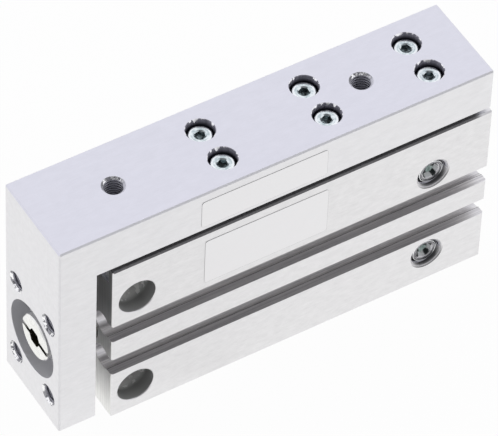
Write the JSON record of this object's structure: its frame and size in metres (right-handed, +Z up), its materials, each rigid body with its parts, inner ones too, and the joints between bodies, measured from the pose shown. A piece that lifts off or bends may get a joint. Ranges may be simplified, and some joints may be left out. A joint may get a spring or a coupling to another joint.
{
  "type": "pneumatic slide table",
  "caption": "Slim pneumatic slide table: an L-shaped slide with a tapped top and end plate runs on a ball-cage guide over a cylinder housing and is driven by the piston rod.",
  "frame": {"origin": "centre of the bounding box at the housing's flat underside, slide retracted", "axes": "+X from the yoke to the rear end of the housing, +Y to the back, +Z up; the slide extends towards -X"},
  "size_m": [0.0744, 0.016, 0.0414],
  "materials": {
    "clear_anodised": "satin, clear anodised",
    "hardened_steel": "ground",
    "zinc_steel": "bright zinc",
    "nickel": "bright nickel",
    "black_steel": "phosphated",
    "bronze": "machined",
    "brass": "machined",
    "cage_resin": "moulded",
    "magnet": "sintered",
    "rubber": "matt"
  },
  "bodies": {
    "base": {"housing": "clear_anodised", "guide_channel": "hardened_steel", "channel_screws": "zinc_steel", "cage_stops": "hardened_steel", "front_cap": "brass", "rod_bush": "bronze", "rod_seal": "rubber", "front_oring": "rubber", "front_snap_ring": "black_steel", "rear_cap": "brass", "rear_oring": "rubber", "rear_snap_ring": "black_steel", "port_plug_upper": "zinc_steel", "port_plug_lower": "zinc_steel", "passage_plugs": "zinc_steel"},
    "table": {"slide_plate": "clear_anodised", "guide_rail": "hardened_steel", "rail_screws": "zinc_steel", "piston_rod": "hardened_steel", "slotted_nut": "nickel", "nut_washer": "black_steel", "lock_nut": "zinc_steel", "piston_front": "brass", "piston_magnet": "magnet", "piston_rear": "brass", "piston_seal_front": "rubber", "piston_seal_rear": "rubber", "bumper_front": "rubber", "bumper_rear": "rubber"},
    "cages": {"ball_cage_front": "cage_resin", "ball_cage_rear": "cage_resin", "balls_front": "nickel", "balls_rear": "nickel"}
  },
  "joints": [
    {"name": "table_slide", "type": "slide", "parent": "base", "child": "table", "axis": [-1, 0, 0], "range_m": [0, 0.03]},
    {"name": "cage_slide", "type": "slide", "parent": "base", "child": "cages", "axis": [-1, 0, 0], "range_m": [0, 0.015]}
  ],
  "couplings": [
    {"joint": "cage_slide", "follows": "table_slide", "ratio": 0.5}
  ]
}
